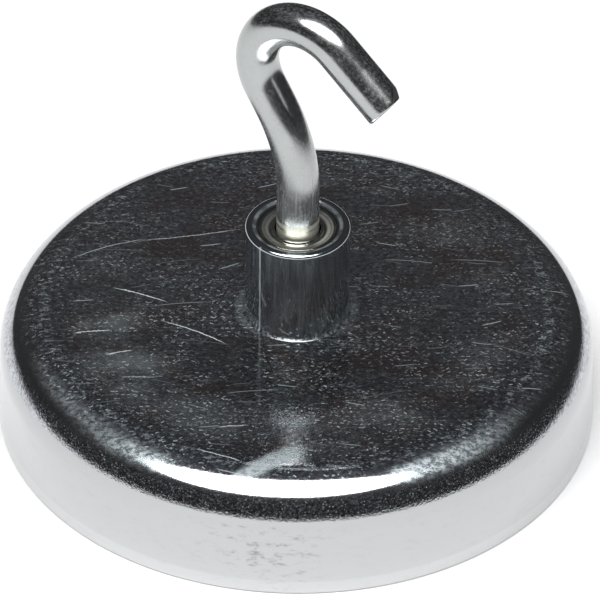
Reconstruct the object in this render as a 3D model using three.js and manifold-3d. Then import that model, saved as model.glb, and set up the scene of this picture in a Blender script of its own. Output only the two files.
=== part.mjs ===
// Pot magnet with a swivelling open hook.
// A drawn steel pot holds a ferrite ring magnet. A turned boss is riveted to the middle of the pot,
// and a bent wire hook turns in a bush that the boss's rolled lip holds in.
// Millimetres, +Z up. The pot stands on its rim at z = 0, centred on the Z axis, and the hook is
// bent in the XZ plane, with its tip towards +X.
import * as THREE from "three";
import { mergeVertices } from "three/addons/utils/BufferGeometryUtils.js";
import Module from "manifold-3d";

// ---- driving dimensions ----
const POT_RADIUS = 40; // at the rim
const POT_HEIGHT = 16.4;
const SHEET = 2.5; // thickness of the pot's steel
const SHOULDER_RADIUS = 6.7; // outside bend between the wall and the plate
const WALL_DRAFT = 0.3; // how much narrower the wall is at the shoulder than at the rim
const RIM_CHAMFER = 0.4;

const MAGNET_RADIUS = 34.5;
const MAGNET_HOLE_RADIUS = 8;
const MAGNET_RECESS = 0.4; // the magnet's face lies this far above the rim
const MAGNET_CHAMFER = 0.6;
const BOND_THICKNESS = 0.5;
const RESIN_RECESS = 0.8;

const BOSS_RADIUS = 7;
const BOSS_HEIGHT = 14; // above the plate
const BOSS_CHAMFER = 0.3;
const SPIGOT_RADIUS = 4.9;
const RIVET_RADIUS = 6.4; // the spigot's riveted end, inside the pot
const RIVET_HEIGHT = 1.8;
const CHAMBER_RADIUS = 5.2;
const CHAMBER_FLOOR = 2.5; // above the plate
const LIP_RADIUS = 5.3; // inside of the rolled lip that holds the bush
const LIP_WIDTH = 0.95; // its sloping top
const LIP_DROP = 0.3;
const LIP_THICKNESS = 0.3; // at its inner edge

const BUSH_RADIUS = 5.75;
const BUSH_HOLE_RADIUS = 3.1;
const BUSH_LENGTH = 6.8; // below the lip
const BUSH_CHAMFER = 0.3;

const WIRE_RADIUS = 2.85;
const SHANK_TOP = 36.3; // height where the hook's first bend starts
const LEAN_RADIUS = 23.3;
const LEAN_ANGLE = 32.3; // degrees that the neck leans back
const NECK_LENGTH = 3.3;
const CROWN_RADIUS = 7.65;
const CROWN_ANGLE = 161.8; // degrees from the neck over the top to the tip
const TIP_LENGTH = 10.05;

const WASHER_RADIUS = 4.7;
const WASHER_THICKNESS = 1.2;
const TENON_RADIUS = 2.25; // the hook's reduced end, through the washer
const HEAD_RADIUS = 3.5; // the tenon's riveted end, under the washer
const HEAD_HEIGHT = 1.2;

const AXIAL_PLAY = 0.3; // between the washer and the bush
const GAP = 0.1; // between round faces that fit together

const RING_SEGMENTS = 72;
const TURNED_SEGMENTS = 40;
const WIRE_SIDES = 20;
const WIRE_STEPS = 48;
const ARC_STEPS = 7;

// ---- heights that follow from them ----
const plateUnderside = POT_HEIGHT - SHEET;
const wallTop = POT_HEIGHT - SHOULDER_RADIUS;
const innerCorner = SHOULDER_RADIUS - SHEET;
const cornerCentre = POT_RADIUS - WALL_DRAFT - SHOULDER_RADIUS;
const magnetTop = plateUnderside - BOND_THICKNESS;
const bossTop = POT_HEIGHT + BOSS_HEIGHT;
const lipUnderside = bossTop - LIP_DROP - LIP_THICKNESS;
const bushShoulder = lipUnderside - GAP;
const bushFace = bossTop - LIP_DROP;
const bushFoot = bushShoulder - BUSH_LENGTH;
const washerTop = bushFoot - AXIAL_PLAY;
const washerFoot = washerTop - WASHER_THICKNESS;

// ---- finishes ----
const finish = (color, metalness, roughness) =>
  new THREE.MeshStandardMaterial({ color, metalness, roughness });
const plating = finish(0xc9cccf, 1, 0.2);
const turnedSteel = finish(0xb9bcbd, 1, 0.3);
const ferrite = finish(0x35363a, 0.1, 0.6);
const resin = finish(0x6f6a5c, 0, 0.45);

// ---- shape helpers ----
const point = (radius, height) => new THREE.Vector2(radius, height);

// Points of a profile arc, from one angle to another in degrees, both ends included.
function arc(centreRadius, centreHeight, radius, from, to) {
  const points = [];
  for (let i = 0; i <= ARC_STEPS; i++) {
    const angle = THREE.MathUtils.degToRad(from + ((to - from) * i) / ARC_STEPS);
    points.push(
      point(centreRadius + radius * Math.cos(angle), centreHeight + radius * Math.sin(angle)),
    );
  }
  return points;
}

// A solid of revolution about Z. The profile runs anticlockwise in the (radius, height) plane,
// and either starts and ends on the axis or is closed here.
function turned(profile, segments) {
  const onAxis = profile[0].x === 0 && profile[profile.length - 1].x === 0;
  const points = onAxis ? profile : [...profile, profile[0].clone()];
  return new THREE.LatheGeometry(points, segments).rotateX(Math.PI / 2);
}

// A plain ring: a rectangle turned about Z.
function ring(inner, outer, foot, top, segments) {
  const profile = [point(inner, foot), point(outer, foot), point(outer, top), point(inner, top)];
  return turned(profile, segments);
}

function named(name, geometry, material) {
  const mesh = new THREE.Mesh(geometry, material);
  mesh.name = name;
  return mesh;
}

// ---- joining solids ----
const wasm = await Module();
wasm.setup();

function solidOf(geometry) {
  const bare = new THREE.BufferGeometry();
  const source = geometry.index ? geometry.toNonIndexed() : geometry;
  bare.setAttribute("position", source.getAttribute("position"));
  const merged = mergeVertices(bare, 1e-4);
  return new wasm.Manifold(
    new wasm.Mesh({
      numProp: 3,
      vertProperties: merged.getAttribute("position").array,
      triVerts: new Uint32Array(merged.index.array),
    }),
  );
}

function geometryOf(solid) {
  const mesh = solid.getMesh();
  const geometry = new THREE.BufferGeometry();
  geometry.setAttribute("position", new THREE.BufferAttribute(mesh.vertProperties, 3));
  geometry.setIndex(new THREE.BufferAttribute(mesh.triVerts, 1));
  geometry.computeVertexNormals();
  return geometry;
}

// ---- the pot and what is in it ----

// Deep-drawn cup, open downwards, with a hole in its plate for the boss's spigot.
function makePot() {
  const profile = [
    point(POT_RADIUS - SHEET, 0),
    point(POT_RADIUS - RIM_CHAMFER, 0),
    point(POT_RADIUS, RIM_CHAMFER),
    ...arc(cornerCentre, wallTop, SHOULDER_RADIUS, 0, 90),
    point(SPIGOT_RADIUS + GAP, POT_HEIGHT),
    point(SPIGOT_RADIUS + GAP, plateUnderside),
    ...arc(cornerCentre, wallTop, innerCorner, 90, 0),
  ];
  return named("pot", turned(profile, RING_SEGMENTS), plating);
}

// Sintered ferrite ring, magnetised through its thickness.
function makeMagnet() {
  const c = MAGNET_CHAMFER;
  const profile = [
    point(MAGNET_HOLE_RADIUS, MAGNET_RECESS),
    point(MAGNET_RADIUS - c, MAGNET_RECESS),
    point(MAGNET_RADIUS, MAGNET_RECESS + c),
    point(MAGNET_RADIUS, magnetTop - c),
    point(MAGNET_RADIUS - c, magnetTop),
    point(MAGNET_HOLE_RADIUS, magnetTop),
  ];
  return named("ferrite_magnet", turned(profile, RING_SEGMENTS), ferrite);
}

// Film of glue between the magnet and the underside of the plate.
function makeBondLayer() {
  const film = ring(MAGNET_HOLE_RADIUS, cornerCentre, magnetTop, plateUnderside, RING_SEGMENTS);
  return named("bond_layer", film, resin);
}

// Resin cast into the gap between the magnet and the pot's wall, up into the shoulder.
function makePottingRing() {
  const inner = MAGNET_RADIUS + GAP;
  const bend = innerCorner - GAP;
  const top = magnetTop - MAGNET_CHAMFER;
  const reach = THREE.MathUtils.radToDeg(Math.asin((top - wallTop) / bend));
  const profile = [
    point(inner, RESIN_RECESS),
    point(POT_RADIUS - SHEET - GAP, RESIN_RECESS),
    ...arc(cornerCentre, wallTop, bend, 0, reach),
    point(inner, top),
  ];
  return named("potting_ring", turned(profile, RING_SEGMENTS), resin);
}

// Resin that closes the magnet's hole below the riveted spigot.
function makeCentreFill() {
  const radius = MAGNET_HOLE_RADIUS - GAP;
  const top = plateUnderside - RIVET_HEIGHT - GAP;
  const profile = [
    point(0, RESIN_RECESS),
    point(radius, RESIN_RECESS),
    point(radius, top),
    point(0, top),
  ];
  return named("centre_fill", turned(profile, TURNED_SEGMENTS), resin);
}

// ---- the boss and its bush ----

// Turned sleeve with a blind bore. Its spigot goes through the plate and is riveted over inside.
function makeBoss() {
  const rivetFoot = plateUnderside - RIVET_HEIGHT;
  const c = BOSS_CHAMFER;
  const boreRadius = BUSH_RADIUS + GAP;
  const chamberFloor = POT_HEIGHT + CHAMBER_FLOOR;
  const profile = [
    point(0, rivetFoot),
    point(RIVET_RADIUS - c, rivetFoot),
    point(RIVET_RADIUS, rivetFoot + c),
    point(RIVET_RADIUS, plateUnderside),
    point(SPIGOT_RADIUS, plateUnderside),
    point(SPIGOT_RADIUS, POT_HEIGHT),
    point(BOSS_RADIUS - c, POT_HEIGHT),
    point(BOSS_RADIUS, POT_HEIGHT + c),
    point(BOSS_RADIUS, bossTop - c),
    point(BOSS_RADIUS - c, bossTop),
    point(LIP_RADIUS + LIP_WIDTH, bossTop),
    point(LIP_RADIUS, bossTop - LIP_DROP),
    point(LIP_RADIUS, lipUnderside),
    point(boreRadius, lipUnderside),
    point(boreRadius, bushFoot),
    point(CHAMBER_RADIUS, bushFoot),
    point(CHAMBER_RADIUS, chamberFloor),
    point(0, chamberFloor),
  ];
  return named("boss", turned(profile, TURNED_SEGMENTS), plating);
}

// Shouldered bush that guides the shank and takes the pull. The lip holds its shoulder down, and
// its face fills the lip's opening.
function makeBush() {
  const faceRadius = LIP_RADIUS - GAP;
  const profile = [
    point(BUSH_HOLE_RADIUS, bushFoot),
    point(BUSH_RADIUS, bushFoot),
    point(BUSH_RADIUS, bushShoulder),
    point(faceRadius, bushShoulder),
    point(faceRadius, bushFace),
    point(BUSH_HOLE_RADIUS + BUSH_CHAMFER, bushFace),
    point(BUSH_HOLE_RADIUS, bushFace - BUSH_CHAMFER),
  ];
  return named("swivel_bush", turned(profile, TURNED_SEGMENTS), turnedSteel);
}

// ---- the hook and its washer ----

// An arc in the XZ plane. Its heading is the angle from +Z towards +X, in radians.
class BendCurve extends THREE.Curve {
  constructor(start, heading, radius, turn) {
    super();
    const side = Math.sign(turn);
    this.centre = start
      .clone()
      .add(new THREE.Vector3(Math.cos(heading), 0, -Math.sin(heading)).multiplyScalar(side * radius));
    Object.assign(this, { heading, radius, turn, side });
  }

  getPoint(t, target = new THREE.Vector3()) {
    const angle = this.heading + this.turn * t;
    const reach = this.side * this.radius;
    return target
      .set(-Math.cos(angle) * reach, 0, Math.sin(angle) * reach)
      .add(this.centre);
  }
}

// The wire's centreline, from the shank's shoulder on the washer to the tip.
function hookCentreline() {
  const path = new THREE.CurvePath();
  let at = new THREE.Vector3(0, 0, washerTop);
  let heading = 0;
  const straight = (length) => {
    const end = at
      .clone()
      .add(new THREE.Vector3(Math.sin(heading), 0, Math.cos(heading)).multiplyScalar(length));
    path.add(new THREE.LineCurve3(at, end));
    at = end;
  };
  const bend = (radius, degrees) => {
    const curve = new BendCurve(at, heading, radius, THREE.MathUtils.degToRad(degrees));
    path.add(curve);
    at = curve.getPoint(1);
    heading += curve.turn;
  };
  straight(SHANK_TOP - washerTop);
  bend(LEAN_RADIUS, -LEAN_ANGLE);
  straight(NECK_LENGTH);
  bend(CROWN_RADIUS, CROWN_ANGLE);
  straight(TIP_LENGTH);
  return path;
}

// One round wire, bent cold, with its lower end turned down and riveted over the washer.
function makeHook() {
  const section = new THREE.Shape().absarc(0, 0, WIRE_RADIUS, 0, 2 * Math.PI);
  const wire = new THREE.ExtrudeGeometry(section, {
    steps: WIRE_STEPS,
    curveSegments: WIRE_SIDES / 2, // an arc shape gets two sides for each
    bevelEnabled: false,
    extrudePath: hookCentreline(),
  });
  const headFoot = washerFoot - HEAD_HEIGHT;
  const c = HEAD_HEIGHT / 2;
  const tenon = turned(
    [
      point(0, headFoot),
      point(HEAD_RADIUS - c, headFoot),
      point(HEAD_RADIUS, headFoot + c),
      point(HEAD_RADIUS, washerFoot),
      point(TENON_RADIUS, washerFoot),
      point(TENON_RADIUS, washerTop + WIRE_RADIUS),
      point(0, washerTop + WIRE_RADIUS),
    ],
    WIRE_SIDES,
  );
  return named("hook", geometryOf(solidOf(wire).add(solidOf(tenon))), plating);
}

// Flat washer between the hook's riveted end and the bush.
function makeWasher() {
  const flat = ring(TENON_RADIUS + GAP, WASHER_RADIUS, washerFoot, washerTop, TURNED_SEGMENTS);
  return named("thrust_washer", flat, turnedSteel);
}

// ---- assembly ----
const base = new THREE.Group();
base.add(makePot(), makeMagnet(), makeBondLayer(), makePottingRing(), makeCentreFill());
base.add(makeBoss(), makeBush());

const swivel = new THREE.Group();
swivel.add(makeHook(), makeWasher());

const potMagnet = new THREE.Group();
potMagnet.add(base, swivel);

export default potMagnet;
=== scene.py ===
"""A pot magnet with a swivelling open hook, on a pale table under one large soft light."""

import math

import bmesh
import bpy
from mathutils import Matrix, Vector


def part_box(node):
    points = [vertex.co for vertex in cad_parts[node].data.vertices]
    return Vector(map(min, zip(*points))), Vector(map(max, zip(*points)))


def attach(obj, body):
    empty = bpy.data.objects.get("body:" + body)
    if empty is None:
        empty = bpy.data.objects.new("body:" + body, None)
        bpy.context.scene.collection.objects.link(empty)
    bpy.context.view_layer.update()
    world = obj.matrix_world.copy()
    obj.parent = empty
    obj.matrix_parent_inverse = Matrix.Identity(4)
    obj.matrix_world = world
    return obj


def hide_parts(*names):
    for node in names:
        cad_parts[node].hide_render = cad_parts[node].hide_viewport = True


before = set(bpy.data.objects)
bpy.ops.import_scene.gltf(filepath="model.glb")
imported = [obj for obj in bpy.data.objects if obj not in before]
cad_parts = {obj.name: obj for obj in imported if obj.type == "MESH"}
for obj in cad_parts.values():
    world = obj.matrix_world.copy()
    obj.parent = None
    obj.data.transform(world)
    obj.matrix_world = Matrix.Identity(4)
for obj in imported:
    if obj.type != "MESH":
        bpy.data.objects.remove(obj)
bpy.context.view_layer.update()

MM = 0.001  # metres in a millimetre: shapes and patterns are worked out in millimetres

# ---- sizes taken from the frame, in millimetres ----
POT_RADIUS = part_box("pot")[1].x / MM
POT_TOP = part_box("pot")[1].z / MM
PLATE_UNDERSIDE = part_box("bond_layer")[1].z / MM
BOSS_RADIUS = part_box("boss")[1].x / MM
BOSS_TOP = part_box("boss")[1].z / MM
RIVET_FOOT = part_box("boss")[0].z / MM
BUSH_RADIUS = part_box("swivel_bush")[1].x / MM
BUSH_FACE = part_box("swivel_bush")[1].z / MM
BUSH_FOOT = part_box("swivel_bush")[0].z / MM
MAGNET_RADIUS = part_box("ferrite_magnet")[1].x / MM
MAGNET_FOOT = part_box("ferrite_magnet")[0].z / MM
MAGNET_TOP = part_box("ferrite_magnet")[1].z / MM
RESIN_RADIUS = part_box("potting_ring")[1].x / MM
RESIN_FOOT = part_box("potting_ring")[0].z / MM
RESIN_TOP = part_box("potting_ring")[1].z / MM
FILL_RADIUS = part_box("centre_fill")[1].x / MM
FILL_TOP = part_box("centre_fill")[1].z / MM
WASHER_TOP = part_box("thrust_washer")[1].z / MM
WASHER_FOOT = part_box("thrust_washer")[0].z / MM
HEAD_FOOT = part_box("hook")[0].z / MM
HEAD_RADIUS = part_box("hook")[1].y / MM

# ---- sizes that the frame's boxes don't give, in millimetres ----
SHEET = POT_TOP - PLATE_UNDERSIDE
SHOULDER_RADIUS = 6.7
WALL_DRAFT = 0.3
RIM_ROUNDING = 0.35
INNER_RIM_ROUNDING = 0.25
SPIGOT_RADIUS = 4.9
SPIGOT_CLEARANCE = 0.1
RIVET_RADIUS = 6.4
RIVET_ROUNDING = 0.5
MAGNET_HOLE_RADIUS = 8
MAGNET_EDGE = 0.5
RESIN_CLIMB = 0.35
RESIN_GAP = 0.1
FILL_SINK = 0.5
BORE_RADIUS = 5.85
CHAMBER_RADIUS = 5.2
CHAMBER_FLOOR = POT_TOP + 2.5
FOOT_FLARE = 0.26  # the boss spreads by this much where it was staked on the plate
FOOT_ROUNDING = 0.2
BOSS_ROUNDING = 0.45
LIP_RADIUS = 5.3
LIP_UNDERSIDE = BUSH_FACE - 0.3
BUSH_HOLE_RADIUS = 3.1
BUSH_FACE_RADIUS = LIP_RADIUS - 0.08
BUSH_STEP = BUSH_FACE - 0.4
BUSH_ROUNDING = 0.2
WIRE_RADIUS = 2.85
TENON_RADIUS = 2.25

# The lip rolled in over the bush: radius, drop below the boss's top and rounding of each corner.
LIP_CORNERS = [
    (6.12, 0, 0.08),
    (5.85, 0.18, 0.1),
    (LIP_RADIUS, 0.29, 0.06),
]

# The bush's hollowed face and low collar: radius, drop below its highest point and rounding.
BUSH_CORNERS = [
    (BUSH_FACE_RADIUS, 0.02, 0.05),
    (5.08, 0.02, 0.04),
    (4.98, 0.14, 0.04),
    (3.58, 0.41, 0.1),
    (3.42, 0.12, 0.08),
    (BUSH_HOLE_RADIUS, 0.08, 0.12),
]

# Deep scratches on the plate: start and end of each, as millimetres to the right and away as the
# object is seen, how far its middle bows, and its strength.
PLATE_SCRATCHES = [
    ((-25, 4), (-17, 0.7), 0.3, 1),
    ((-18.5, -3), (-9, -8.3), 0.5, 1),
    ((-30, -6), (-24.5, -5.2), 0.1, 0.9),
    ((-25.6, -10.6), (-21.5, -9.4), 0.1, 0.8),
    ((-13.6, -30), (-6.8, -32.8), 0.2, 0.9),
    ((-31, 9.8), (-20, 14.8), 0.6, 0.45),
    ((-22, 14.2), (-7, 17.3), -0.3, 0.55),
    ((-23.5, -15.2), (-18, -15.1), 0, 0.5),
    ((-10.6, -25.6), (-6, -25.1), 0.1, 0.7),
    ((-10.6, 8.2), (-7.6, 9.7), 0, 0.6),
]
DEEP_WIDTH = 0.17

# The hook's bends: where the shank ends, then radius and degrees of each bend, and the straights.
SHANK_TOP = 36.3
LEAN_RADIUS = 23.3
LEAN_ANGLE = 32.3
NECK_LENGTH = 3.3
CROWN_RADIUS = 7.65
CROWN_ANGLE = 161.8
TIP_LENGTH = 10.05
TIP_SPARE = 1  # wire beyond the tip, which the shear takes off
WIRE_LENGTH = (
    SHANK_TOP - HEAD_FOOT
    + math.radians(LEAN_ANGLE) * LEAN_RADIUS
    + NECK_LENGTH
    + math.radians(CROWN_ANGLE) * CROWN_RADIUS
    + TIP_LENGTH
)

# The hook's tip: how far the shear is out of square, and the facet that its corner was knocked to.
SHEAR_SLOPE = 0.05
FACET_TURN = math.radians(34)  # how far the facet lies round from the bend's outside
FACET_REACH = 1.8
FACET_SLOPE = 0.6
TIP_ROUNDING = 0.34
TIP_REGION = 3 * WIRE_RADIUS
TIP_EDGES = 2 * WIRE_RADIUS
TIP_CREASE = math.radians(13)  # an edge at the tip that turns more than this gets rounded
SLIVER = 0.05

# ---- how finely the shapes are divided ----
TURN_STEPS = 288
WIRE_SIDES = 72
DEGREES_PER_RING = 3
ARC_STEP = 6  # degrees between the points of a rounded corner
SPAN = 1.5  # longest stretch between two points of a straight
SUPPORT = 0.2  # an extra point this near each end of a straight keeps its shading flat
SHORT = 1  # a straight up to this length needs no such points
DOME_STEPS = 12
MENISCUS_STEPS = 10
RESIN_ARC_STEPS = 8
BEVEL_STEPS = 4
SHARP_ANGLE = math.radians(28)

# ---- directions, counted from -Y towards +X ----
VIEW_AZIMUTH = 33  # degrees
ROLLING_ANGLE = math.radians(VIEW_AZIMUTH)  # the sheet was rolled along this direction
SMUDGE_AZIMUTH = math.radians(VIEW_AZIMUTH - 6)
SMUDGE_HEIGHT = 9  # millimetres
SMUDGED_PLACE = (
    POT_RADIUS * math.sin(SMUDGE_AZIMUTH),
    -POT_RADIUS * math.cos(SMUDGE_AZIMUTH),
    SMUDGE_HEIGHT,
)

# ---- camera, light and table: metres and degrees, unless a line says otherwise ----
LENS = 545.5  # millimetres
SENSOR = 36  # millimetres
VIEW_DISTANCE = 1.222
VIEW_ELEVATION = 38.63
VIEW_ROLL = math.radians(0.555)  # radians
VIEW_BASE = 4.8  # millimetres above the ground, from where distance and elevation are counted
AIM_RIGHT = 0.386  # millimetres
AIM_HEIGHT = 17.7  # millimetres
FAR_CLIP = 20
PANEL_WIDTH = 1.29
PANEL_DEPTH = 0.78
PANEL_RADIANCE = 6.8
PANEL_HEIGHT = 1
PANEL_FORWARD = 0.37
PANEL_LEFT = 0.105
TABLE_RADIUS = 0.6
TABLE_SHIFT = 0.45
TABLE_AZIMUTH = VIEW_AZIMUTH - 45
TABLE_DROP = 0.02  # millimetres

# ---- numbers of a mix node's colour sockets ----
FIRST_COLOUR = 6
SECOND_COLOUR = 7
MIXED_COLOUR = 2


# ======== shapes ========

def rounded(before, corner, after, radius):
    """Points of the arc that rounds one corner of an outline."""
    back = (before - corner).normalized()
    ahead = (after - corner).normalized()
    half = back.angle(ahead) / 2
    reach = radius / math.tan(half)
    centre = corner + (back + ahead).normalized() * (radius / math.sin(half))
    first = corner + back * reach - centre
    last = corner + ahead * reach - centre
    sweep = first.angle_signed(last)
    steps = max(2, round(abs(math.degrees(sweep)) / ARC_STEP))
    turn = [Matrix.Rotation(-sweep * i / steps, 2) for i in range(steps + 1)]
    return [centre + m @ first for m in turn]


def outline(corners, closed=False):
    """Points of an outline given by its corners, each (radius, height) or (radius, height, rounding)."""
    spots = [Vector(c[:2]) for c in corners]
    points = []
    for i, corner in enumerate(corners):
        if len(corner) == 3:
            points += rounded(spots[i - 1], spots[i], spots[(i + 1) % len(spots)], corner[2])
        else:
            points.append(spots[i])
    if closed:
        points.append(points[0])
    spaced = [points[0]]
    for start, end in zip(points, points[1:]):
        length = (end - start).length
        support = min(SUPPORT, length / 4)
        stops = [support, length - support] if length > SHORT else []
        if length > SPAN:
            parts = math.ceil(length / SPAN)
            stops += [length * i / parts for i in range(1, parts)]
        spaced += [start.lerp(end, stop / length) for stop in sorted(stops)]
        spaced.append(end)
    return spaced[:-1] if closed else spaced


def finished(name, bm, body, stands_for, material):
    """Turns a bmesh into a smooth-shaded piece that rides on a body."""
    mesh = bpy.data.meshes.new(name)
    bm.to_mesh(mesh)
    bm.free()
    mesh.shade_smooth()
    mesh.set_sharp_from_angle(angle=SHARP_ANGLE)
    mesh.materials.append(material)
    piece = bpy.data.objects.new(name, mesh)
    bpy.context.scene.collection.objects.link(piece)
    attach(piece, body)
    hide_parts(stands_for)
    return piece


def turned(points, closed=False):
    """Turns an outline about the Z axis."""
    bm = bmesh.new()
    verts = [bm.verts.new((p.x * MM, 0, p.y * MM)) for p in points]
    edges = [bm.edges.new(pair) for pair in zip(verts, verts[1:])]
    if closed:
        edges.append(bm.edges.new((verts[-1], verts[0])))
    bmesh.ops.spin(
        bm,
        geom=verts + edges,
        cent=(0, 0, 0),
        axis=(0, 0, 1),
        dvec=(0, 0, 0),
        angle=2 * math.pi,
        steps=TURN_STEPS,
        use_merge=True,
        use_duplicate=False,
    )
    bmesh.ops.remove_doubles(bm, verts=bm.verts, dist=1e-7)
    bmesh.ops.dissolve_degenerate(bm, edges=bm.edges, dist=1e-8)
    bmesh.ops.recalc_face_normals(bm, faces=bm.faces)
    return bm


def arc_points(centre, radius, start, end, steps):
    """Points of an arc in an outline, from one angle to another in degrees."""
    angles = [math.radians(start + (end - start) * i / steps) for i in range(steps + 1)]
    return [(centre[0] + radius * math.cos(a), centre[1] + radius * math.sin(a)) for a in angles]


def lowered(corners, top):
    """Corners given as (radius, drop, rounding), measured down from a height."""
    return [(radius, top - drop, rounding) for radius, drop, rounding in corners]


def make_pot(material):
    """The deep-drawn cup, with its rim ground flat and its edges broken."""
    inner = POT_RADIUS - SHEET
    shoulder = POT_RADIUS - WALL_DRAFT
    hole = SPIGOT_RADIUS + SPIGOT_CLEARANCE
    corners = [
        (inner, 0, INNER_RIM_ROUNDING),
        (POT_RADIUS, 0, RIM_ROUNDING),
        (shoulder, POT_TOP, SHOULDER_RADIUS),
        (hole, POT_TOP),
        (hole, PLATE_UNDERSIDE),
        (inner - WALL_DRAFT, PLATE_UNDERSIDE, SHOULDER_RADIUS - SHEET),
    ]
    bm = turned(outline(corners, closed=True), closed=True)
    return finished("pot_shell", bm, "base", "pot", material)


def make_magnet(material):
    """The sintered ring, with broken edges."""
    corners = [
        (MAGNET_HOLE_RADIUS, MAGNET_FOOT, MAGNET_EDGE),
        (MAGNET_RADIUS, MAGNET_FOOT, MAGNET_EDGE),
        (MAGNET_RADIUS, MAGNET_TOP, MAGNET_EDGE),
        (MAGNET_HOLE_RADIUS, MAGNET_TOP, MAGNET_EDGE),
    ]
    bm = turned(outline(corners, closed=True), closed=True)
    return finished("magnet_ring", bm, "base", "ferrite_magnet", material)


def meniscus(inner, outer, level, rise):
    """Underside of cast resin, from inner to outer radius: it climbs the walls at both sides."""
    points = []
    for i in range(MENISCUS_STEPS + 1):
        t = i / MENISCUS_STEPS
        points.append((inner + (outer - inner) * t, level + rise * (1 - (2 * t - 1) ** 4)))
    return points


def make_potting_ring(material):
    """Resin between the magnet and the pot's wall."""
    inner = MAGNET_RADIUS + RESIN_GAP
    bend = SHOULDER_RADIUS - SHEET - RESIN_GAP
    centre = (POT_RADIUS - WALL_DRAFT - SHOULDER_RADIUS, POT_TOP - SHOULDER_RADIUS)
    reach = math.degrees(math.asin((RESIN_TOP - centre[1]) / bend))
    corners = [
        *meniscus(inner, RESIN_RADIUS, RESIN_FOOT, RESIN_CLIMB),
        *arc_points(centre, bend, 0, reach, RESIN_ARC_STEPS),
        (inner, RESIN_TOP),
    ]
    bm = turned(outline(corners, closed=True), closed=True)
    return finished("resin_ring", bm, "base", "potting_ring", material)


def make_centre_fill(material):
    """Resin plug in the magnet's hole, a little sunk in its middle."""
    dome = []
    for i in range(DOME_STEPS + 1):
        t = i / DOME_STEPS
        dome.append((FILL_RADIUS * t, RESIN_FOOT + FILL_SINK * (1 - t**4)))
    bm = turned(outline([*dome, (FILL_RADIUS, FILL_TOP), (0, FILL_TOP)]))
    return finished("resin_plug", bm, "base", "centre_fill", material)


def make_boss(material):
    """The turned sleeve: riveted spigot, staked foot, flat top and a lip rolled in over the bush."""
    corners = [
        (0, RIVET_FOOT),
        (RIVET_RADIUS, RIVET_FOOT, RIVET_ROUNDING),
        (RIVET_RADIUS, PLATE_UNDERSIDE),
        (SPIGOT_RADIUS, PLATE_UNDERSIDE),
        (SPIGOT_RADIUS, POT_TOP),
        (BOSS_RADIUS + FOOT_FLARE, POT_TOP),
        (BOSS_RADIUS, POT_TOP + FOOT_FLARE, FOOT_ROUNDING),
        (BOSS_RADIUS, BOSS_TOP, BOSS_ROUNDING),
        *lowered(LIP_CORNERS, BOSS_TOP),
        (LIP_RADIUS, LIP_UNDERSIDE),
        (BORE_RADIUS, LIP_UNDERSIDE),
        (BORE_RADIUS, BUSH_FOOT),
        (CHAMBER_RADIUS, BUSH_FOOT),
        (CHAMBER_RADIUS, CHAMBER_FLOOR),
        (0, CHAMBER_FLOOR),
    ]
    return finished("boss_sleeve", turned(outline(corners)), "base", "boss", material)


def make_bush(material):
    """The shouldered bush: a hollowed face and a low collar round its hole."""
    corners = [
        (BUSH_HOLE_RADIUS, BUSH_FOOT, BUSH_ROUNDING),
        (BUSH_RADIUS, BUSH_FOOT, BUSH_ROUNDING),
        (BUSH_RADIUS, BUSH_STEP, BUSH_ROUNDING / 2),
        (BUSH_FACE_RADIUS, BUSH_STEP),
        *lowered(BUSH_CORNERS, BUSH_FACE),
    ]
    bm = turned(outline(corners, closed=True), closed=True)
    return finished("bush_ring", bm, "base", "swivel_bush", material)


def extend_wire(bm, ring, move, length):
    """Extrudes the wire's last ring by a move, and counts that length on along the straight wire."""
    straight = bm.verts.layers.float_vector["straight_wire"]
    grown = bmesh.ops.extrude_edge_only(bm, edges=ring)["geom"]
    verts = [g for g in grown if isinstance(g, bmesh.types.BMVert)]
    bmesh.ops.transform(bm, matrix=move, verts=verts)
    for vert in verts:
        vert[straight].z += length
    return [g for g in grown if isinstance(g, bmesh.types.BMEdge) and set(g.verts) <= set(verts)]


def riveted_end(bm, ring):
    """The hook's riveted head, its tenon and the start of its shank. Gives the last ring and its height."""
    radius = WIRE_RADIUS
    height = HEAD_FOOT
    for next_radius, next_height in [
        (HEAD_RADIUS - 0.2, HEAD_FOOT + 0.3),
        (HEAD_RADIUS, HEAD_FOOT + 0.7),
        (HEAD_RADIUS, WASHER_FOOT),
        (TENON_RADIUS, WASHER_FOOT),
        (TENON_RADIUS, WASHER_TOP),
        (WIRE_RADIUS - 0.15, WASHER_TOP),
        (WIRE_RADIUS, WASHER_TOP + 0.15),
    ]:
        scale = next_radius / radius
        rise = next_height - height
        move = Matrix.Translation((0, 0, rise * MM)) @ Matrix.Diagonal((scale, scale, 1, 1))
        ring = extend_wire(bm, ring, move, rise)
        radius = next_radius
        height = next_height
    return ring, height


def bent_wire(bm, ring, height):
    """The shank and the hook's bends, up to its blunt end. Gives the last ring, its middle and heading."""
    at = Vector((0, 0, height * MM))
    heading = Vector((0, 0, 1))
    for kind, size, degrees in [
        ("straight", SHANK_TOP - height, 0),
        ("bend", LEAN_RADIUS, -LEAN_ANGLE),
        ("straight", NECK_LENGTH, 0),
        ("bend", CROWN_RADIUS, CROWN_ANGLE),
        ("straight", TIP_LENGTH + TIP_SPARE, 0),
    ]:
        if kind == "straight":
            count = math.ceil(size)
            move = Matrix.Translation(heading * (size * MM / count))
            length = size / count
        else:
            count = math.ceil(abs(degrees) / DEGREES_PER_RING)
            side = math.copysign(1, degrees)
            centre = at + heading.cross(Vector((0, -1, 0))) * (side * size * MM)
            spin = Matrix.Rotation(math.radians(degrees) / count, 4, "Y")
            move = Matrix.Translation(centre) @ spin @ Matrix.Translation(-centre)
            length = math.radians(abs(degrees)) * size / count
        for _ in range(count):
            ring = extend_wire(bm, ring, move, length)
            at = move @ at
            heading = move.to_3x3() @ heading
    return ring, at, heading


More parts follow.
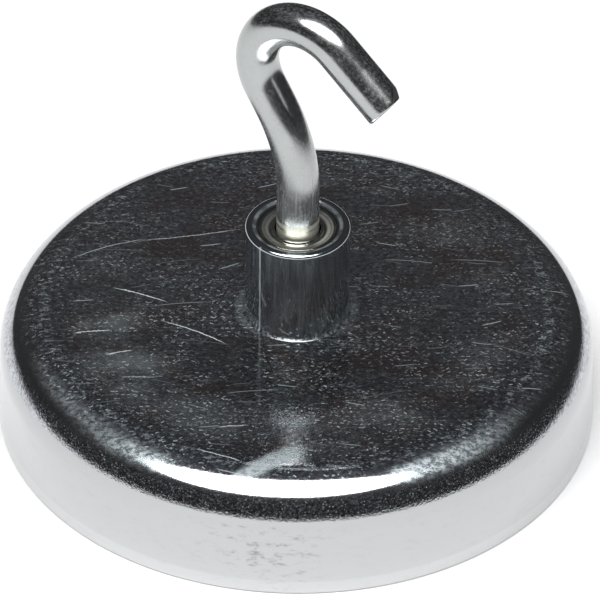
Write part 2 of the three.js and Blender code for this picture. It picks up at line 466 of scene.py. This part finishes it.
def shear_tip(bm, at, heading):
    """Shears the wire's end not quite square, knocks its outer corner off and rounds the edges."""
    end = at - heading * (TIP_SPARE * MM)
    outward = heading.cross(Vector((0, 1, 0)))
    sideways = Vector((0, math.sin(FACET_TURN), 0))
    corner = (outward * math.cos(FACET_TURN) + sideways).normalized()
    cuts = [
        (end, heading + outward * SHEAR_SLOPE),
        (end + corner * (FACET_REACH * MM), heading * FACET_SLOPE + corner),
    ]
    for spot, normal in cuts:
        tip = [f for f in bm.faces if (f.calc_center_median() - end).length < TIP_REGION * MM]
        parts = {part for face in tip for part in [face, *face.edges, *face.verts]}
        cut = bmesh.ops.bisect_plane(
            bm,
            geom=list(parts),
            dist=1e-7,
            plane_co=spot,
            plane_no=normal.normalized(),
            clear_outer=True,
        )
        rim = [g for g in cut["geom_cut"] if isinstance(g, bmesh.types.BMEdge)]
        bmesh.ops.contextual_create(bm, geom=rim)
    near_end = [e for e in bm.edges if (e.verts[0].co - end).length < TIP_EDGES * MM]
    bmesh.ops.dissolve_degenerate(bm, edges=near_end, dist=SLIVER * MM)
    bmesh.ops.recalc_face_normals(bm, faces=bm.faces)
    near_end = [e for e in bm.edges if (e.verts[0].co - end).length < TIP_EDGES * MM]
    bmesh.ops.bevel(
        bm,
        geom=[edge for edge in near_end if edge.calc_face_angle(0) > TIP_CREASE],
        offset=TIP_ROUNDING * MM,
        offset_type="OFFSET",
        segments=BEVEL_STEPS,
        profile=0.5,
        affect="EDGES",
        clamp_overlap=False,
        material=-1,
    )


def make_hook(material):
    """The bent wire. Each ring of it is extruded from the last, and remembers where it lay on the
    straight wire, in millimetres, for the drawing marks."""
    bm = bmesh.new()
    straight = bm.verts.layers.float_vector.new("straight_wire")
    place = Matrix.Translation((0, 0, HEAD_FOOT * MM))
    bmesh.ops.create_circle(bm, segments=WIRE_SIDES, radius=WIRE_RADIUS * MM, matrix=place)
    for vert in bm.verts:
        vert[straight] = (vert.co.x / MM, vert.co.y / MM, 0)
    foot = list(bm.edges)
    ring, height = riveted_end(bm, foot)
    ring, at, heading = bent_wire(bm, ring, height)
    bmesh.ops.contextual_create(bm, geom=foot)
    bmesh.ops.contextual_create(bm, geom=ring)
    shear_tip(bm, at, heading)
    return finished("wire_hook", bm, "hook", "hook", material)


# ======== finishes ========

class Finish:
    """A short way to write a material's nodes. Patterns are worked out in millimetres."""

    def __init__(self, name, colour, metallic, roughness):
        self.material = bpy.data.materials.new(name)
        self.material.use_nodes = True
        self.tree = self.material.node_tree
        self.shader = self.tree.nodes["Principled BSDF"]
        self.shader.inputs["Base Color"].default_value = (*colour, 1)
        self.shader.inputs["Metallic"].default_value = metallic
        self.shader.inputs["Roughness"].default_value = roughness
        self.place = self.node("TexCoord").outputs["Object"]
        self.place = self.scaled(self.place, (1 / MM,) * 3)

    def node(self, kind, inputs=None, **settings):
        made = self.tree.nodes.new("ShaderNode" + kind)
        for key, value in settings.items():
            setattr(made, key, value)
        for key, value in (inputs or {}).items():
            self.feed(made.inputs[key], value)
        return made

    def feed(self, socket, value):
        if isinstance(value, bpy.types.NodeSocket):
            self.tree.links.new(value, socket)
        else:
            socket.default_value = value

    def set(self, name, value):
        self.feed(self.shader.inputs[name], value)

    def math(self, operation, *values, clamp=False):
        made = self.node("Math", dict(enumerate(values)), operation=operation, use_clamp=clamp)
        return made.outputs[0]

    def product(self, *values):
        result = values[0]
        for value in values[1:]:
            result = self.math("MULTIPLY", result, value)
        return result

    def highest(self, *values):
        result = values[0]
        for value in values[1:]:
            result = self.math("MAXIMUM", result, value)
        return result

    def range(self, value, low, high, start=0.0, end=1.0, smooth=True):
        inputs = {0: value, 1: low, 2: high, 3: start, 4: end}
        kind = "SMOOTHSTEP" if smooth else "LINEAR"
        return self.node("MapRange", inputs, interpolation_type=kind).outputs[0]

    def band(self, value, starts, full, fades, ends, after=0.0):
        """1 between two places and 0 before them, with soft edges, and that much after them."""
        return self.product(self.range(value, starts, full), self.range(value, fades, ends, 1, after))

    def mix(self, factor, first, second):
        return self.node("Mix", {0: factor, 2: first, 3: second}, data_type="FLOAT").outputs[0]

    def tint(self, factor, first, second):
        inputs = {0: factor, FIRST_COLOUR: (*first, 1), SECOND_COLOUR: (*second, 1)}
        return self.node("Mix", inputs, data_type="RGBA").outputs[MIXED_COLOUR]

    def blend(self, factor, first, second):
        """Between two colours, either of which may be a pattern."""
        made = self.node("Mix", {0: factor}, data_type="RGBA")
        for socket, value in zip((made.inputs[FIRST_COLOUR], made.inputs[SECOND_COLOUR]), (first, second)):
            self.feed(socket, value if isinstance(value, bpy.types.NodeSocket) else (*value, 1))
        return made.outputs[MIXED_COLOUR]

    def scaled(self, vector, scale):
        return self.node("VectorMath", {0: vector, 1: scale}, operation="MULTIPLY").outputs[0]

    def spun(self, vector, angle):
        """A vector turned about Z."""
        inputs = {"Vector": vector, "Angle": angle}
        return self.node("VectorRotate", inputs, rotation_type="Z_AXIS").outputs[0]

    def mapped(self, vector, angle, scale, shift=(0, 0, 0)):
        """A vector seen from axes turned about Z, then stretched."""
        inputs = {0: self.spun(vector, -angle), 1: scale, 2: shift}
        return self.node("VectorMath", inputs, operation="MULTIPLY_ADD").outputs[0]

    def rolled(self, scale=(1, 1, 1), shift=(0, 0, 0)):
        """The place with X along the sheet's rolling direction, which is to the right as it is seen."""
        return self.mapped(self.place, ROLLING_ANGLE, scale, shift)

    def parts(self, vector):
        return self.node("SeparateXYZ", {0: vector}).outputs

    def from_axis(self):
        """Distance from the Z axis, and height."""
        x, y, z = self.parts(self.place)
        return self.math("SQRT", self.math("ADD", self.product(x, x), self.product(y, y))), z

    def bearing(self, right, away):
        """Direction from the axis in radians, 0 at the front and growing to the right."""
        return self.math("ARCTAN2", right, self.product(away, -1))

    def noise(self, vector, detail=2.0, rough=0.5):
        inputs = {"Vector": vector, "Scale": 1.0, "Detail": detail, "Roughness": rough}
        return self.node("TexNoise", inputs).outputs[0]

    def turning_marks(self, radius, z, scale, detail):
        """Noise that is the same all the way round the axis."""
        rings = self.node("CombineXYZ", {0: self.product(radius, scale), 1: self.product(z, scale)})
        return self.noise(rings.outputs[0], detail=detail)

    def relief(self, height, depth, under=None):
        """Bumps of that depth in millimetres, on top of any other relief."""
        if isinstance(depth, bpy.types.NodeSocket):
            distance = self.product(depth, MM)
        else:
            distance = depth * MM
        made = self.node("Bump", {"Height": height, "Distance": distance, "Strength": 1.0})
        if under is not None:
            self.feed(made.inputs["Normal"], under)
        return made.outputs[0]

    def worn(self, wear, roughness):
        """Metallic and roughness of metal that is scuffed by that much, and so scatters light."""
        scuffed_roughness = 0.5
        metallic = self.range(wear, 0, 1, 1, 0, smooth=False)
        return metallic, self.mix(wear, roughness, scuffed_roughness)

    def line(self, along, across, full_to, ends_at, width):
        """A line on X that thins out towards its ends."""
        reach = self.range(self.math("ABSOLUTE", along), full_to, ends_at, 1, 0)
        breadth = self.range(self.math("ABSOLUTE", across), width * 0.25, width * 0.6, 1, 0)
        return self.product(reach, breadth)

    def picked(self, chance, share):
        """1 in that share of the cells, else 0."""
        edge = 0.02
        return self.range(chance, share - edge, share + edge, 1, 0)

    def varied(self, chance, least):
        """A different depth in each cell, mostly a shallow one."""
        shallowness = 2.5
        return self.range(self.math("POWER", chance, shallowness), 0, 1, least, 1.0, smooth=False)

    def scratches(self, vector, cell, length, width, spread, share, bend=0.0):
        """Straight or slightly bent scratches, at most one in each cell of a random pattern.
        They lie along X, give or take spread radians, in that share of the cells."""
        grid = self.scaled(vector, (1 / cell, 1 / cell, 0))
        cells = self.node("TexVoronoi", {"Vector": grid, "Scale": 1.0}, voronoi_dimensions="2D")
        inputs = {0: grid, 1: cells.outputs["Position"]}
        offset = self.node("VectorMath", inputs, operation="SUBTRACT").outputs[0]
        offset = self.scaled(offset, (cell, cell, 0))
        chance = self.node("SeparateColor", {0: cells.outputs["Color"]}).outputs
        angle = self.range(chance[0], 0, 1, -spread, spread, smooth=False)
        along, across, _ = self.parts(self.spun(offset, angle))
        if bend:
            across = self.math("ADD", across, self.product(along, along, bend))
        mark = self.line(along, across, length * 0.3, length * 0.5, width)
        return self.product(mark, self.product(self.picked(chance[1], share), self.varied(chance[2], 0.2)))

    def scratch(self, right, away, start, end, bend, width):
        """One scratch between two places, its middle pushed aside by bend."""
        run = Vector(end) - Vector(start)
        middle = (Vector(end) + Vector(start)) / 2
        angle = math.atan2(run.y, run.x)
        half = run.length / 2
        east = self.math("SUBTRACT", right, middle.x)
        north = self.math("SUBTRACT", away, middle.y)
        eastward = self.product(east, math.cos(angle))
        along = self.math("ADD", eastward, self.product(north, math.sin(angle)))
        northward = self.product(north, math.cos(angle))
        across = self.math("SUBTRACT", northward, self.product(east, math.sin(angle)))
        bow = self.math("SUBTRACT", self.product(along, along, bend / half**2), bend)
        return self.line(along, self.math("ADD", across, bow), half * 0.55, half, width)

    def specks(self, vector, cell, size, share):
        """Small round pits, at most one in each cell."""
        grid = self.scaled(vector, (1 / cell,) * 3)
        cells = self.node("TexVoronoi", {"Vector": grid, "Scale": 1.0})
        chance = self.node("SeparateColor", {0: cells.outputs["Color"]}).outputs
        dot = self.range(cells.outputs["Distance"], 0.3 * size / cell, 0.8 * size / cell, 1, 0)
        return self.product(dot, self.picked(chance[0], share), self.varied(chance[1], 0.15))


def plate_marks(f, patches, coarse, fine_dashes):
    """Sharp marks on the flat plate: deep and fine scratches, short rolling marks and grains."""
    place = f.rolled()
    right, away, _ = f.parts(place)
    wander = f.range(coarse, 0.3, 0.7, -0.12, 0.12, smooth=False)
    wandering = f.math("ADD", away, wander)
    deep_marks = f.highest(
        *[
            f.product(f.scratch(right, wandering, start, end, bow, DEEP_WIDTH), strength)
            for start, end, bow, strength in PLATE_SCRATCHES
        ]
    )
    long_marks = f.scratches(place, 9.5, length=8, width=0.15, spread=0.5, share=0.3, bend=0.012)
    middle_marks = f.scratches(place, 4.3, length=3.2, width=0.16, spread=0.4, share=0.35, bend=-0.02)
    short_marks = f.scratches(place, 0.8, length=0.6, width=0.17, spread=0.8, share=0.55)
    grains = f.specks(f.place, 0.5, size=0.22, share=0.45)
    coarse_dashes = f.range(coarse, 0.53, 0.68)
    worn = f.range(patches, 0.36, 0.62, 0.3, 1)
    quiet_back = f.range(away, -5, 22, 1, 0.6)
    return f.highest(
        f.product(deep_marks, 0.9),
        f.product(long_marks, 0.45),
        f.product(middle_marks, 0.5),
        f.product(f.highest(short_marks, grains), worn, quiet_back, 0.55),
        f.product(fine_dashes, coarse_dashes, worn, 0.5),
        f.product(coarse_dashes, worn, 0.1),
        f.product(fine_dashes, worn, 0.06),
    )


def plate_rubs_and_painted_reflection(f, radius, patches, coarse):
    """Soft hazes where the plate was handled, and one painted reflection near the front edge. Each band
    lists where it starts, is full, fades and ends:
    rings are by radius, and the rubs at the rim also by bearing, in radians."""
    right, away, _ = f.parts(f.rolled())
    bearing = f.bearing(right, away)
    wide_ring = f.band(radius, 17, 26, 27, 34)
    rim_ring = f.band(radius, 34, 36, 36.2, 37.8)
    crescent = f.band(radius, 34.8, 36, 37, 38.6)
    scrape = f.band(radius, 32.6, 33.5, 33.9, 35)
    foot_ring = f.band(radius, 7, 7.4, 7.6, 9)
    left_rub = f.band(bearing, -1.5, -0.75, -0.6, -0.35, after=0.1)
    right_rub = f.band(bearing, 0.3, 0.55, 0.75, 1.05, after=0.05)
    smear = f.band(bearing, -2, -1.7, -1.1, -0.75, after=0.2)
    left_end = f.band(bearing, -1.0, -0.62, -0.55, -0.4)
    right_end = f.product(f.range(bearing, 0.3, 0.42), f.range(bearing, 0.6, 0.95, 1.5, 0))

    # A painted reflection: a bright askew patch near the front edge, where the hook's neck is mirrored in
    # the plate.
    slant = f.product(f.math("ADD", away, 33), -1.2)
    from_painted_reflection = f.math("ADD", f.math("ADD", right, slant), 3.9)
    askew = f.product(
        f.range(f.math("ABSOLUTE", from_painted_reflection), 0.8, 3, 1, 0),
        f.band(away, -35.6, -34.4, -33, -28.5),
        f.range(coarse, 0.36, 0.6, 0.45, 1),
    )

    haze = f.product(wide_ring, f.range(patches, 0.4, 0.7, 0.2, 1))
    rim_haze = f.product(rim_ring, f.range(coarse, 0.36, 0.62, 0.2, 1))
    rim_ends = f.product(f.highest(left_end, right_end), crescent)
    sideways = f.math("DIVIDE", f.math("ABSOLUTE", right), radius)
    foot_rub = f.product(foot_ring, f.range(sideways, 0.5, 0.9))
    return f.highest(
        f.product(foot_rub, f.range(coarse, 0.35, 0.6, 0.02, 0.14)),
        f.product(haze, f.range(smear, 0, 1, 0.03, 0.13, smooth=False)),
        f.product(rim_haze, f.highest(left_rub, right_rub, 0.08), 0.24),
        f.product(scrape, f.range(coarse, 0.5, 0.62), 0.16),
        f.product(rim_ends, f.range(coarse, 0.4, 0.6, 0.1, 0.42)),
        f.product(askew, 0.6),
        f.range(away, -25, 10, 0, 0.022),
    )


def pot_metal(f, radius, z, stained):
    """The plating's own colour: stained and in places browned on top, cleaner and smudged on the wall."""
    stain = f.noise(f.rolled((1.2, 1.7, 1.7), (3, 9, 2)), detail=4, rough=0.75)
    brown_patches = f.noise(f.rolled((0.11, 0.2, 0.2), (5, 1, 8)), detail=3)
    browned = f.product(f.range(brown_patches, 0.45, 0.62), f.range(radius, 29, 33, 1, 0), 0.6)
    grey = f.tint(f.range(stain, 0.38, 0.6), (0.34, 0.31, 0.32), (0.6, 0.63, 0.67))
    brown = f.tint(stain, (0.36, 0.22, 0.2), (0.5, 0.42, 0.38))
    wall = f.tint(f.range(z, 1.9, 2.2), (0.56, 0.57, 0.57), (0.515, 0.525, 0.53))
    metal = f.blend(stained, wall, f.blend(browned, grey, brown))

    # Smudges on the wall, most of them at one place.
    smudge = f.noise(f.scaled(f.place, (0.5, 0.5, 1.3)), detail=5, rough=0.75)
    from_place = f.node("VectorMath", {0: f.place, 1: SMUDGED_PLACE}, operation="DISTANCE")
    smudged = f.product(
        f.range(smudge, 0.5, 0.72),
        f.range(from_place.outputs["Value"], 2, 11, 1, 0.12),
        f.range(z, POT_TOP - 5.8, POT_TOP - 5.2, 1, 0),
        0.75,
    )
    return f.blend(smudged, metal, (0.16, 0.16, 0.16))


def pot_plating():
    """Bright nickel on rolled sheet: dense short rolling marks, handling scratches, a soft haze and one
    painted reflection.
    """
    f = Finish("pot_plating", (0.55, 0.56, 0.57), 1, 0.1)
    radius, z = f.from_axis()
    on_plate = f.range(z, POT_TOP - 1.6, POT_TOP - 0.1)
    below_plate = f.range(z, POT_TOP - 2.6, POT_TOP - 1.7, 1, 0)
    on_bend = f.product(below_plate, f.range(z, POT_TOP - 5.2, POT_TOP - 4.2))
    tarnished = f.product(below_plate, f.range(z, POT_TOP - 4.3, POT_TOP - 3.9))
    patches = f.noise(f.rolled((0.09, 0.16, 0.2)), detail=3)
    fine = f.noise(f.rolled((2.8, 4.2, 4.2)), detail=2, rough=0.6)
    coarse = f.noise(f.rolled((1.1, 1.8, 1.8), (7, 3, 5)), detail=4, rough=0.75)
    fine_dashes = f.range(fine, 0.53, 0.68)

    bend_marks = f.highest(
        f.product(f.specks(f.place, 0.3, size=0.18, share=0.75), 0.34),
        f.product(fine_dashes, 0.1),
    )
    flat_marks = plate_marks(f, patches, coarse, fine_dashes)
    wear = f.mix(on_plate, f.product(bend_marks, on_bend), flat_marks)
    # Rubbed hazes on the plate, and one painted reflection near its front edge.
    rubs = f.product(plate_rubs_and_painted_reflection(f, radius, patches, coarse), f.range(z, POT_TOP - 2.5, POT_TOP - 1))
    wear = f.math("ADD", wear, rubs)
    metallic, roughness = f.worn(wear, f.range(z, POT_TOP - 0.3, POT_TOP, 0.09, 0.1))
    metal = pot_metal(f, radius, z, f.math("MAXIMUM", on_plate, tarnished))

    # The drawn bend is pimpled like orange peel, and the wall is drawn smooth.
    peel = f.noise(f.scaled(f.place, (3.4,) * 3), detail=2, rough=0.6)
    drawn = f.noise(f.scaled(f.place, (2, 2, 0.35)), detail=3, rough=0.6)
    height = f.mix(on_plate, f.mix(on_bend, drawn, peel), f.math("ADD", fine, coarse))
    depth = f.mix(on_plate, f.mix(on_bend, 0.002, 0.035), 0.006)
    f.set("Metallic", metallic)
    f.set("Roughness", roughness)
    f.set("Base Color", f.blend(f.range(wear, 0.02, 0.12), metal, (0.55, 0.61, 0.64)))
    f.set("Normal", f.relief(height, depth))
    return f.material


def boss_plating():
    """Bright nickel over turned steel: upright rubs, a painted upright highlight line, a scuffed foot and a
    lip ring painted lighter as a reflection.
    """
    f = Finish("boss_plating", (0.53, 0.54, 0.55), 1, 0.12)
    radius, z = f.from_axis()
    right, away, _ = f.parts(f.rolled())
    turning = f.turning_marks(radius, z, scale=9, detail=2)
    rubs = f.noise(f.scaled(f.place, (2.6, 2.6, 0.16)), detail=3, rough=0.6)
    patches = f.noise(f.scaled(f.place, (0.6,) * 3), detail=3)
    scuffs = f.noise(f.scaled(f.place, (2.5,) * 3))
    pits = f.specks(f.place, 0.7, size=0.16, share=0.2)
    foot = f.product(f.range(z, POT_TOP + 0.05, POT_TOP + 0.6, 1, 0), f.range(scuffs, 0.45, 0.62))
    # A painted reflection: the lip's slope is made a lighter, scuffed ring, in place of the bright horizon
    # that it mirrors.
    lip_painted_reflection = f.product(
        f.band(radius, 5.5, 5.65, 5.95, 6.12),
        f.range(z, BOSS_TOP - 0.6, BOSS_TOP - 0.4),
        f.range(patches, 0.35, 0.6, 0.2, 1),
    )

    # A painted highlight: one thin, lighter upright line on the side, in place of the reflection of a
    # bright strip.
    painted_highlight_bearing = -0.79
    off_line = f.math("ABSOLUTE", f.math("SUBTRACT", f.bearing(right, away), painted_highlight_bearing))
    painted_highlight_line = f.product(
        f.range(off_line, 0.012, 0.03, 1, 0),
        f.range(radius, 6.8, 6.9),
        f.range(rubs, 0.3, 0.6, 0.6, 1),
    )
    wear = f.highest(
        f.product(pits, 0.3),
        f.product(f.range(rubs, 0.62, 0.78), 0.05),
        f.product(painted_highlight_line, 0.45),
        f.product(foot, 0.2),
        f.product(lip_painted_reflection, 0.3),
    )
    metallic, roughness = f.worn(wear, f.range(rubs, 0.3, 0.7, 0.09, 0.15))
    f.set("Metallic", metallic)
    f.set("Roughness", roughness)
    f.set("Base Color", f.tint(rubs, (0.6, 0.61, 0.59), (0.53, 0.59, 0.64)))
    f.set("Normal", f.relief(turning, 0.0015))
    return f.material


def hook_plating():
    """Nickel over drawn wire: fine lines along the wire, a mottled skin where it was bent, two pale bands
    above the bush painted as a sheen, and a facet at the tip painted near-black."""
    f = Finish("hook_plating", (0.54, 0.54, 0.53), 1, 0.14)
    wire = f.node("Attribute", attribute_name="straight_wire").outputs["Vector"]
    wire_x, wire_y, length = f.parts(wire)
    lines = f.noise(f.scaled(wire, (5.5, 5.5, 0.10)), detail=3, rough=0.6)
    mottle = f.noise(f.scaled(wire, (2.8, 2.8, 2.2)), detail=4, rough=0.75)
    cloud = f.noise(f.scaled(wire, (0.4, 0.4, 0.25)), detail=3)
    pits = f.specks(wire, 0.7, size=0.16, share=0.22)
    low = f.range(length, 16, 24, 1, 0)
    above_bush = f.math("SUBTRACT", length, BUSH_FACE - HEAD_FOOT)
    # Two pale cream, scuffed bands just above the bush: a painted sheen in place of the bright reflection
    # at the wire's foot.
    painted_foot_sheen = f.highest(
        f.band(above_bush, -0.6, -0.4, 0.7, 0.9),
        f.band(above_bush, 1.1, 1.25, 1.8, 2),
    )

    # Distance from the plane of the facet, worked out on the straight wire.
    from_axis = f.math(
        "SUBTRACT",
        f.product(wire_y, math.sin(FACET_TURN)),
        f.product(wire_x, math.cos(FACET_TURN)),
    )
    past_end = f.product(f.math("SUBTRACT", length, WIRE_LENGTH), FACET_SLOPE)
    past_facet = f.math("ADD", f.math("SUBTRACT", from_axis, FACET_REACH), past_end)
    facet_painted_dark = f.range(f.math("ABSOLUTE", past_facet), 0.03, 0.06, 1, 0)

    wear = f.highest(
        f.product(f.range(lines, 0.55, 0.7), f.range(low, 0, 1, 0.1, 0.3, smooth=False)),
        f.product(f.range(mottle, 0.44, 0.68), f.range(cloud, 0.4, 0.6, 0.12, 0.2)),
        f.product(pits, 0.24),
        f.product(painted_foot_sheen, 0.34),
    )
    metallic, roughness = f.worn(wear, f.range(cloud, 0.35, 0.65, 0.17, 0.24))
    skin = f.tint(f.range(mottle, 0.35, 0.65), (0.43, 0.46, 0.42), (0.475, 0.475, 0.505))
    skin = f.blend(painted_foot_sheen, skin, (0.62, 0.61, 0.55))
    depth = f.range(low, 0, 1, 0.002, 0.006, smooth=False)
    # The facet at the tip is painted near-black, rough and not metallic.
    f.set("Metallic", f.mix(facet_painted_dark, metallic, 0.0))
    f.set("Roughness", f.mix(facet_painted_dark, roughness, 0.9))
    f.set("Base Color", f.blend(facet_painted_dark, skin, (0.035, 0.032, 0.035)))
    f.set("Normal", f.relief(lines, depth, f.relief(mottle, 0.003)))
    return f.material


def bush_steel():
    """Turned steel with fine turning rings, its face rubbed dull at two sides."""
    f = Finish("bush_steel", (0.5, 0.5, 0.48), 1, 0.16)
    radius, z = f.from_axis()
    right, _, _ = f.parts(f.rolled())
    turning = f.turning_marks(radius, z, scale=6, detail=3)
    stain = f.noise(f.scaled(f.place, (0.8,) * 3), detail=3)
    sideways = f.math("DIVIDE", f.math("ABSOLUTE", right), radius)
    wear = f.product(
        f.band(radius, 3.75, 4, 4.6, 4.9),
        f.range(sideways, 0.35, 0.8, 0.1, 1),
        f.range(turning, 0.4, 0.6, 0.5, 1),
        f.range(right, -2, 2, 0.18, 0.5),
    )
    metallic, roughness = f.worn(wear, f.range(stain, 0.35, 0.65, 0.12, 0.24))
    f.set("Metallic", metallic)
    f.set("Roughness", roughness)
    f.set("Base Color", f.tint(stain, (0.55, 0.53, 0.45), (0.47, 0.5, 0.48)))
    f.set("Normal", f.relief(turning, 0.0012))
    return f.material


def washer_steel():
    """Stamped washer: rolling grain and tumbling marks."""
    f = Finish("washer_steel", (0.6, 0.6, 0.59), 1, 0.28)
    grain = f.noise(f.scaled(f.place, (0.8, 6, 6)), detail=3)
    f.set("Roughness", f.range(grain, 0.3, 0.7, 0.2, 0.36))
    f.set("Base Color", f.tint(grain, (0.62, 0.6, 0.57), (0.56, 0.58, 0.6)))
    f.set("Normal", f.relief(grain, 0.003))
    return f.material


def ferrite():
    """Ground sintered ferrite: charcoal, with grinding arcs, grain and small chips."""
    f = Finish("ferrite", (0.045, 0.046, 0.05), 0, 0.55)
    wheel_distance = 90
    x, y, _ = f.parts(f.place)
    from_wheel = f.math("ADD", x, wheel_distance)
    swing = f.math("SQRT", f.math("ADD", f.product(from_wheel, from_wheel), f.product(y, y)))
    arcs = f.noise(f.node("CombineXYZ", {0: f.product(swing, 3.5), 1: 0.0}).outputs[0], detail=4)
    grain = f.noise(f.scaled(f.place, (5,) * 3), detail=4, rough=0.65)
    pores = f.specks(f.place, 1.3, size=0.3, share=0.3)
    bloom = f.noise(f.scaled(f.place, (0.12,) * 3), detail=4)
    askew = f.mapped(f.place, 0.9, (1, 1, 1))
    rubs = f.scratches(askew, 7, length=6, width=0.18, spread=0.8, share=0.45, bend=0.01)
    height = f.math("SUBTRACT", f.math("ADD", f.product(arcs, 0.8), grain), pores)
    shade = f.math("ADD", f.range(bloom, 0.35, 0.7, 0, 0.5), f.range(arcs, 0.35, 0.65, 0, 0.3))
    shade = f.math("ADD", shade, f.product(rubs, 0.8), clamp=True)
    f.set("Roughness", f.range(arcs, 0.3, 0.7, 0.38, 0.66))
    f.set("Base Color", f.tint(shade, (0.028, 0.029, 0.032), (0.13, 0.128, 0.122)))
    f.set("Normal", f.relief(height, 0.018))
    return f.material


def resin():
    """Cast epoxy: dark, smooth, with trapped bubbles and dust."""
    f = Finish("resin", (0.06, 0.052, 0.04), 0, 0.3)
    cloud = f.noise(f.scaled(f.place, (0.35,) * 3), detail=4)
    bubbles = f.specks(f.place, 1.6, size=0.45, share=0.25)
    dust = f.range(f.noise(f.scaled(f.place, (2.5,) * 3), detail=5, rough=0.7), 0.55, 0.75)
    shade = f.math("ADD", cloud, f.product(dust, 0.3))
    f.set("Roughness", f.range(dust, 0, 1, 0.22, 0.5))
    f.set("Base Color", f.tint(shade, (0.035, 0.03, 0.024), (0.15, 0.13, 0.1)))
    f.set("Normal", f.relief(f.math("SUBTRACT", cloud, bubbles), 0.08))
    return f.material


# ======== table, light and camera ========

def towards_view(distance, elevation, azimuth=VIEW_AZIMUTH):
    """A place at that distance from the object, azimuth in degrees from -Y towards +X."""
    e = math.radians(elevation)
    a = math.radians(azimuth)
    flat = distance * math.cos(e)
    return Vector((flat * math.sin(a), -flat * math.cos(a), distance * math.sin(e)))


def table_white():
    """Smooth white table, faintly cloudy, that glows a little so that it stays pale at its edge."""
    f = Finish("table_white", (0.86, 0.86, 0.86), 0, 0.7)
    cloud = f.noise(f.scaled(f.place, (0.004,) * 3), detail=2)
    f.set("Base Color", f.tint(cloud, (0.85, 0.85, 0.86), (0.88, 0.88, 0.88)))
    f.shader.inputs["Emission Color"].default_value = (1, 1, 1, 1)
    f.shader.inputs["Emission Strength"].default_value = 0.17
    return f.material


def make_table():
    """A round table top, set off to one side so that the back of the pot's rim mirrors the dark room."""
    bm = bmesh.new()
    bmesh.ops.create_circle(bm, cap_ends=True, segments=128, radius=TABLE_RADIUS)
    mesh = bpy.data.meshes.new("table")
    bm.to_mesh(mesh)
    bm.free()
    mesh.materials.append(table_white())
    table = bpy.data.objects.new("table", mesh)
    table.location = towards_view(TABLE_SHIFT, 0, TABLE_AZIMUTH) - Vector((0, 0, TABLE_DROP * MM))
    bpy.context.scene.collection.objects.link(table)


def make_softbox():
    """A broad oval panel above the object and towards the camera, facing down."""
    data = bpy.data.lights.new("overhead_softbox", "AREA")
    data.shape = "ELLIPSE"
    data.size = PANEL_WIDTH
    data.size_y = PANEL_DEPTH
    area = PANEL_WIDTH * PANEL_DEPTH * (math.pi / 4)
    data.energy = PANEL_RADIANCE * math.pi * area
    light = bpy.data.objects.new("overhead_softbox", data)
    bpy.context.scene.collection.objects.link(light)
    to_the_left = towards_view(PANEL_LEFT, 0, VIEW_AZIMUTH - 90)
    place = towards_view(PANEL_FORWARD, 0) + to_the_left + Vector((0, 0, PANEL_HEIGHT))
    light.matrix_world = Matrix.Translation(place) @ Matrix.Rotation(math.radians(VIEW_AZIMUTH), 4, "Z")


def make_surroundings():
    """A dark room round the table, a little lighter overhead, with a white backdrop for the camera."""
    world = bpy.data.worlds.new("studio")
    bpy.context.scene.world = world
    world.use_nodes = True
    nodes = world.node_tree.nodes
    links = world.node_tree.links
    coordinates = nodes.new("ShaderNodeTexCoord")
    height = nodes.new("ShaderNodeSeparateXYZ")
    ramp = nodes.new("ShaderNodeValToRGB")
    ramp.color_ramp.elements[0].position = 0.55
    ramp.color_ramp.elements[0].color = (0.036, 0.037, 0.039, 1)
    ramp.color_ramp.elements[1].position = 1
    ramp.color_ramp.elements[1].color = (0.06, 0.067, 0.078, 1)
    rays = nodes.new("ShaderNodeLightPath")
    mix = nodes.new("ShaderNodeMix")
    mix.data_type = "RGBA"
    mix.inputs[SECOND_COLOUR].default_value = (1, 1, 1, 1)
    links.new(coordinates.outputs["Generated"], height.inputs[0])
    links.new(height.outputs["Z"], ramp.inputs[0])
    links.new(rays.outputs["Is Camera Ray"], mix.inputs[0])
    links.new(ramp.outputs[0], mix.inputs[FIRST_COLOUR])
    links.new(mix.outputs[MIXED_COLOUR], nodes["Background"].inputs["Color"])


def make_camera():
    """A long lens that looks down on the object, aimed a little above the middle of the pot."""
    data = bpy.data.cameras.new("camera")
    data.lens = LENS
    data.sensor_width = SENSOR
    data.clip_end = FAR_CLIP
    camera = bpy.data.objects.new("camera", data)
    bpy.context.scene.collection.objects.link(camera)
    right = Vector((math.cos(math.radians(VIEW_AZIMUTH)), math.sin(math.radians(VIEW_AZIMUTH)), 0))
    target = right * (AIM_RIGHT * MM) + Vector((0, 0, AIM_HEIGHT * MM))
    place = Vector((0, 0, VIEW_BASE * MM)) + towards_view(VIEW_DISTANCE, VIEW_ELEVATION)
    facing = (target - place).to_track_quat("-Z", "Y").to_matrix().to_4x4()
    camera.matrix_world = Matrix.Translation(place) @ facing @ Matrix.Rotation(VIEW_ROLL, 4, "Z")
    bpy.context.scene.camera = camera


# ======== the scene ========

bpy.context.scene.view_settings.view_transform = "Standard"
make_camera()
resin_finish = resin()
make_pot(pot_plating())
make_magnet(ferrite())
make_potting_ring(resin_finish)
make_centre_fill(resin_finish)
make_boss(boss_plating())
make_bush(bush_steel())
make_hook(hook_plating())
for node, material in [("bond_layer", resin_finish), ("thrust_washer", washer_steel())]:
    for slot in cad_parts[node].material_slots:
        slot.material = material

make_table()
make_surroundings()
make_softbox()
